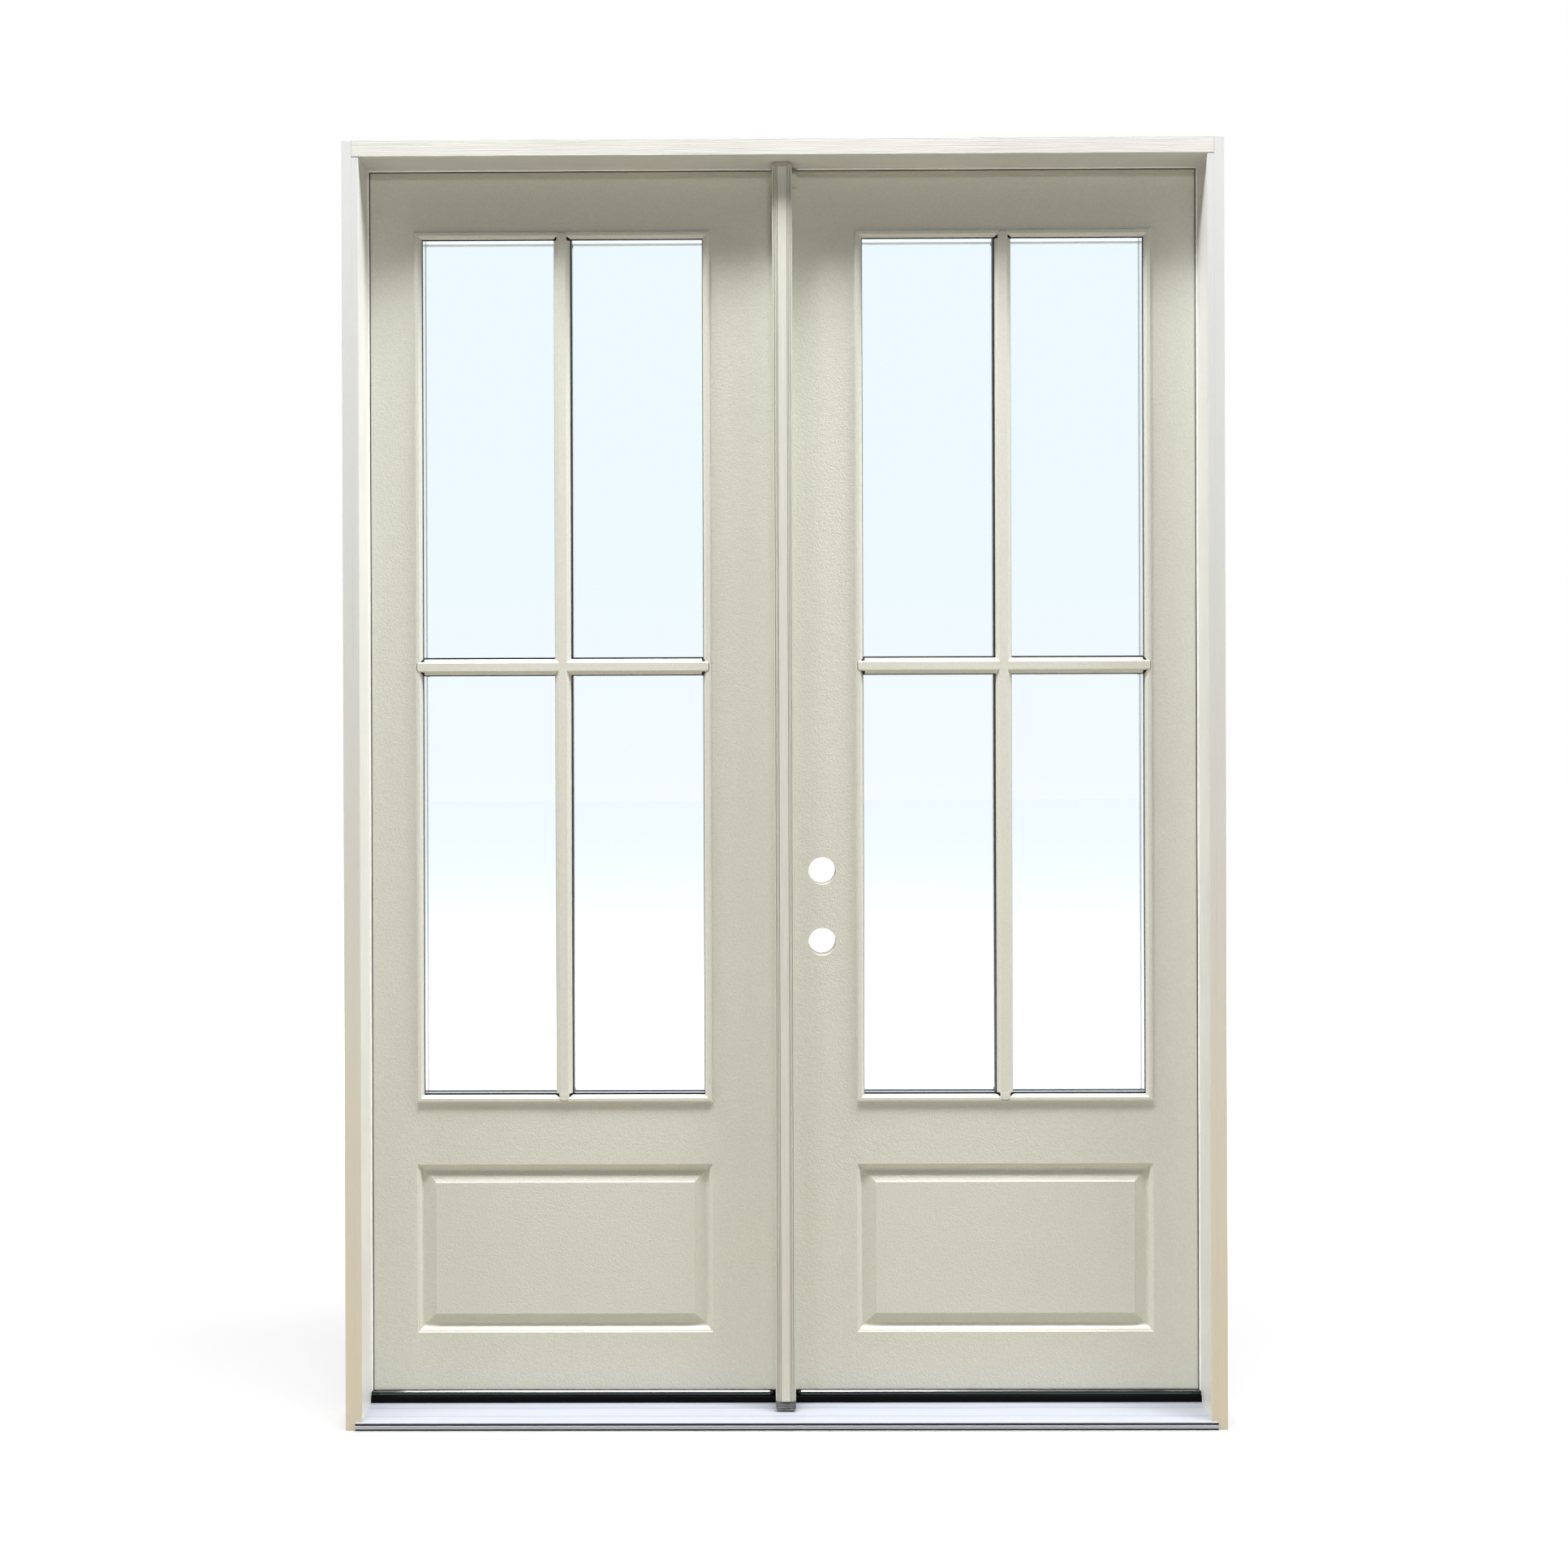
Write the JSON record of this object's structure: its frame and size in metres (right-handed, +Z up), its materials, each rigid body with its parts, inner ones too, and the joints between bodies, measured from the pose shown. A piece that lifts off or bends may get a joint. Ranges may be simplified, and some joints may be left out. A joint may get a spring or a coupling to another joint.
{
  "type": "double entry door",
  "caption": "Double entry door in its frame: glazed leaves with grilles over raised panels, astragal, weatherstrips and sloped sill.",
  "frame": {"origin": "on the floor under the centre of the unit's bounding box", "axes": "+Z up, +Y into the house, +X to the right seen from outside; the outer face looks along -Y"},
  "size_m": [1.6954, 0.1342, 2.4828],
  "materials": {
    "painted_wood": "satin",
    "sill_wood": "matte",
    "sill_metal": "satin",
    "cap_plastic": "gloss",
    "black_rubber": "gloss",
    "foam_seal": "matte",
    "grey_foam": "matte",
    "hinge_steel": "satin",
    "steel": "satin",
    "glass": "gloss",
    "spacer_metal": "matte",
    "foam": "matte",
    "leaf_wood": "matte",
    "moulded_plastic": "satin"
  },
  "bodies": {
    "frame": {"left_jamb": "painted_wood", "right_jamb": "painted_wood", "head_jamb": "painted_wood", "left_stop": "painted_wood", "right_stop": "painted_wood", "head_stop": "painted_wood", "sill_base": "sill_wood", "sill_deck": "sill_metal", "sill_cap": "cap_plastic", "left_weatherstrip": "foam_seal", "right_weatherstrip": "foam_seal", "head_weatherstrip": "foam_seal", "corner_pads": "grey_foam", "head_strike": "steel", "sill_strike": "steel", "left_jamb_hinges": "hinge_steel", "right_jamb_hinges": "hinge_steel"},
    "right_leaf": {"right_outer_skin": "moulded_plastic", "right_inner_skin": "moulded_plastic", "right_hinge_stile": "leaf_wood", "right_lock_stile": "leaf_wood", "right_top_rail": "leaf_wood", "right_bottom_rail": "leaf_wood", "right_foam_core": "foam", "right_outer_glazing_frame": "moulded_plastic", "right_inner_glazing_frame": "moulded_plastic", "right_outer_pane": "glass", "right_inner_pane": "glass", "right_glass_spacer": "spacer_metal", "right_shadow_bars": "moulded_plastic", "right_outer_grille": "moulded_plastic", "right_inner_grille": "moulded_plastic", "right_bottom_sweep": "black_rubber", "right_leaf_hinges": "hinge_steel", "right_lock_block": "leaf_wood"},
    "left_leaf": {"left_outer_skin": "moulded_plastic", "left_inner_skin": "moulded_plastic", "left_hinge_stile": "leaf_wood", "left_lock_stile": "leaf_wood", "left_top_rail": "leaf_wood", "left_bottom_rail": "leaf_wood", "left_foam_core": "foam", "left_outer_glazing_frame": "moulded_plastic", "left_inner_glazing_frame": "moulded_plastic", "left_outer_pane": "glass", "left_inner_pane": "glass", "left_glass_spacer": "spacer_metal", "left_shadow_bars": "moulded_plastic", "left_outer_grille": "moulded_plastic", "left_inner_grille": "moulded_plastic", "left_bottom_sweep": "black_rubber", "left_leaf_hinges": "hinge_steel", "astragal": "moulded_plastic", "astragal_seal": "foam_seal", "astragal_pads": "grey_foam", "astragal_boot": "black_rubber"},
    "top_bolt": {"top_flush_bolt": "steel"},
    "bottom_bolt": {"bottom_flush_bolt": "steel"}
  },
  "joints": [
    {"name": "right_leaf_swing", "type": "hinge", "parent": "frame", "child": "right_leaf", "pos_m": [0.82705, 0.06078, 0], "axis": [0, 0, -1], "range_deg": [0, 100]},
    {"name": "left_leaf_swing", "type": "hinge", "parent": "frame", "child": "left_leaf", "pos_m": [-0.82705, 0.06078, 0], "axis": [0, 0, 1], "range_deg": [0, 90], "deforming": ["astragal_boot"]},
    {"name": "top_bolt_slide", "type": "slide", "parent": "left_leaf", "child": "top_bolt", "axis": [0, 0, 1], "range_m": [0, 0.018]},
    {"name": "bottom_bolt_slide", "type": "slide", "parent": "left_leaf", "child": "bottom_bolt", "axis": [0, 0, -1], "range_m": [0, 0.025]}
  ],
  "couplings": [
    {"joint": "left_leaf_swing", "follows": "right_leaf_swing", "ratio": 0.9}
  ]
}
